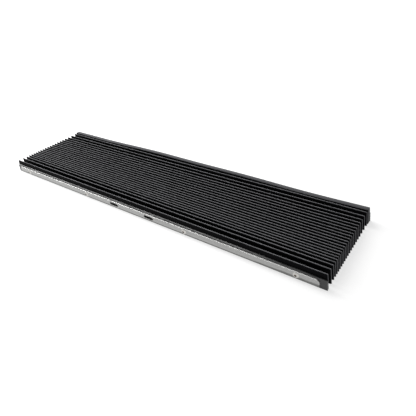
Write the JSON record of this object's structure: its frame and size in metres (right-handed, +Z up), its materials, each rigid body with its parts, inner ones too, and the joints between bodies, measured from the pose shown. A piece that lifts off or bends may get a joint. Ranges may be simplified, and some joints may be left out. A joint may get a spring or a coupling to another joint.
{
  "type": "bellows way cover",
  "caption": "Flat pleated cloth bellows that covers a machine's slideway, with plastic support plates in its folds and a slotted metal mounting strip at each end.",
  "frame": {"origin": "centre of the footprint, at the level of the bed that the cover lies on", "axes": "+X along the pleats, +Y along the travel from the front end to the rear end, +Z up"},
  "size_m": [0.4, 0.1016, 0.014],
  "materials": {
    "cloth": "matte coated cloth",
    "pvc": "matte",
    "strip": "satin",
    "rivet": "satin"
  },
  "bodies": {
    "front_end": {"front_strip": "strip", "front_board": "pvc", "front_inner_plate": "pvc", "front_rivets": "rivet", "bellows_cloth": "cloth"},
    "plate_01": {"support_plate_01": "pvc"},
    "plate_02": {"support_plate_02": "pvc"},
    "plate_03": {"support_plate_03": "pvc"},
    "plate_04": {"support_plate_04": "pvc"},
    "plate_05": {"support_plate_05": "pvc"},
    "plate_06": {"support_plate_06": "pvc"},
    "plate_07": {"support_plate_07": "pvc"},
    "plate_08": {"support_plate_08": "pvc"},
    "plate_09": {"support_plate_09": "pvc"},
    "plate_10": {"support_plate_10": "pvc"},
    "plate_11": {"support_plate_11": "pvc"},
    "plate_12": {"support_plate_12": "pvc"},
    "plate_13": {"support_plate_13": "pvc"},
    "plate_14": {"support_plate_14": "pvc"},
    "plate_15": {"support_plate_15": "pvc"},
    "plate_16": {"support_plate_16": "pvc"},
    "plate_17": {"support_plate_17": "pvc"},
    "plate_18": {"support_plate_18": "pvc"},
    "plate_19": {"support_plate_19": "pvc"},
    "plate_20": {"support_plate_20": "pvc"},
    "plate_21": {"support_plate_21": "pvc"},
    "rear_end": {"rear_strip": "strip", "rear_board": "pvc", "rear_inner_plate": "pvc", "rear_rivets": "rivet"}
  },
  "joints": [
    {"name": "stretch", "type": "slide", "parent": "front_end", "child": "rear_end", "axis": [0, 1, 0], "range_m": [-0.02504, 0.49996], "deforming": ["bellows_cloth"]},
    {"name": "plate_01_slide", "type": "slide", "parent": "front_end", "child": "plate_01", "axis": [0, 1, 0], "range_m": [-0.00105, 0.02089]},
    {"name": "plate_02_slide", "type": "slide", "parent": "front_end", "child": "plate_02", "axis": [0, 1, 0], "range_m": [-0.00216, 0.04314]},
    {"name": "plate_03_slide", "type": "slide", "parent": "front_end", "child": "plate_03", "axis": [0, 1, 0], "range_m": [-0.00332, 0.06633]},
    {"name": "plate_04_slide", "type": "slide", "parent": "front_end", "child": "plate_04", "axis": [0, 1, 0], "range_m": [-0.00451, 0.09006]},
    {"name": "plate_05_slide", "type": "slide", "parent": "front_end", "child": "plate_05", "axis": [0, 1, 0], "range_m": [-0.0057, 0.11391]},
    {"name": "plate_06_slide", "type": "slide", "parent": "front_end", "child": "plate_06", "axis": [0, 1, 0], "range_m": [-0.00689, 0.13767]},
    {"name": "plate_07_slide", "type": "slide", "parent": "front_end", "child": "plate_07", "axis": [0, 1, 0], "range_m": [-0.00808, 0.16135]},
    {"name": "plate_08_slide", "type": "slide", "parent": "front_end", "child": "plate_08", "axis": [0, 1, 0], "range_m": [-0.00926, 0.18494]},
    {"name": "plate_09_slide", "type": "slide", "parent": "front_end", "child": "plate_09", "axis": [0, 1, 0], "range_m": [-0.01044, 0.20844]},
    {"name": "plate_10_slide", "type": "slide", "parent": "front_end", "child": "plate_10", "axis": [0, 1, 0], "range_m": [-0.01161, 0.23186]},
    {"name": "plate_11_slide", "type": "slide", "parent": "front_end", "child": "plate_11", "axis": [0, 1, 0], "range_m": [-0.01278, 0.2552]},
    {"name": "plate_12_slide", "type": "slide", "parent": "front_end", "child": "plate_12", "axis": [0, 1, 0], "range_m": [-0.01394, 0.27845]},
    {"name": "plate_13_slide", "type": "slide", "parent": "front_end", "child": "plate_13", "axis": [0, 1, 0], "range_m": [-0.0151, 0.30161]},
    {"name": "plate_14_slide", "type": "slide", "parent": "front_end", "child": "plate_14", "axis": [0, 1, 0], "range_m": [-0.01626, 0.32469]},
    {"name": "plate_15_slide", "type": "slide", "parent": "front_end", "child": "plate_15", "axis": [0, 1, 0], "range_m": [-0.01741, 0.34768]},
    {"name": "plate_16_slide", "type": "slide", "parent": "front_end", "child": "plate_16", "axis": [0, 1, 0], "range_m": [-0.01856, 0.37058]},
    {"name": "plate_17_slide", "type": "slide", "parent": "front_end", "child": "plate_17", "axis": [0, 1, 0], "range_m": [-0.0197, 0.3934]},
    {"name": "plate_18_slide", "type": "slide", "parent": "front_end", "child": "plate_18", "axis": [0, 1, 0], "range_m": [-0.02084, 0.41613]},
    {"name": "plate_19_slide", "type": "slide", "parent": "front_end", "child": "plate_19", "axis": [0, 1, 0], "range_m": [-0.02194, 0.43816]},
    {"name": "plate_20_slide", "type": "slide", "parent": "front_end", "child": "plate_20", "axis": [0, 1, 0], "range_m": [-0.02301, 0.45947]},
    {"name": "plate_21_slide", "type": "slide", "parent": "front_end", "child": "plate_21", "axis": [0, 1, 0], "range_m": [-0.02404, 0.48007]}
  ],
  "couplings": [
    {"joint": "plate_01_slide", "follows": "stretch", "ratio": 0.041785},
    {"joint": "plate_02_slide", "follows": "stretch", "ratio": 0.086286},
    {"joint": "plate_03_slide", "follows": "stretch", "ratio": 0.13268},
    {"joint": "plate_04_slide", "follows": "stretch", "ratio": 0.18014},
    {"joint": "plate_05_slide", "follows": "stretch", "ratio": 0.22784},
    {"joint": "plate_06_slide", "follows": "stretch", "ratio": 0.27537},
    {"joint": "plate_07_slide", "follows": "stretch", "ratio": 0.32272},
    {"joint": "plate_08_slide", "follows": "stretch", "ratio": 0.36991},
    {"joint": "plate_09_slide", "follows": "stretch", "ratio": 0.41692},
    {"joint": "plate_10_slide", "follows": "stretch", "ratio": 0.46376},
    {"joint": "plate_11_slide", "follows": "stretch", "ratio": 0.51043},
    {"joint": "plate_12_slide", "follows": "stretch", "ratio": 0.55693},
    {"joint": "plate_13_slide", "follows": "stretch", "ratio": 0.60326},
    {"joint": "plate_14_slide", "follows": "stretch", "ratio": 0.64942},
    {"joint": "plate_15_slide", "follows": "stretch", "ratio": 0.6954},
    {"joint": "plate_16_slide", "follows": "stretch", "ratio": 0.74122},
    {"joint": "plate_17_slide", "follows": "stretch", "ratio": 0.78686},
    {"joint": "plate_18_slide", "follows": "stretch", "ratio": 0.83233},
    {"joint": "plate_19_slide", "follows": "stretch", "ratio": 0.87638},
    {"joint": "plate_20_slide", "follows": "stretch", "ratio": 0.91901},
    {"joint": "plate_21_slide", "follows": "stretch", "ratio": 0.96022}
  ]
}
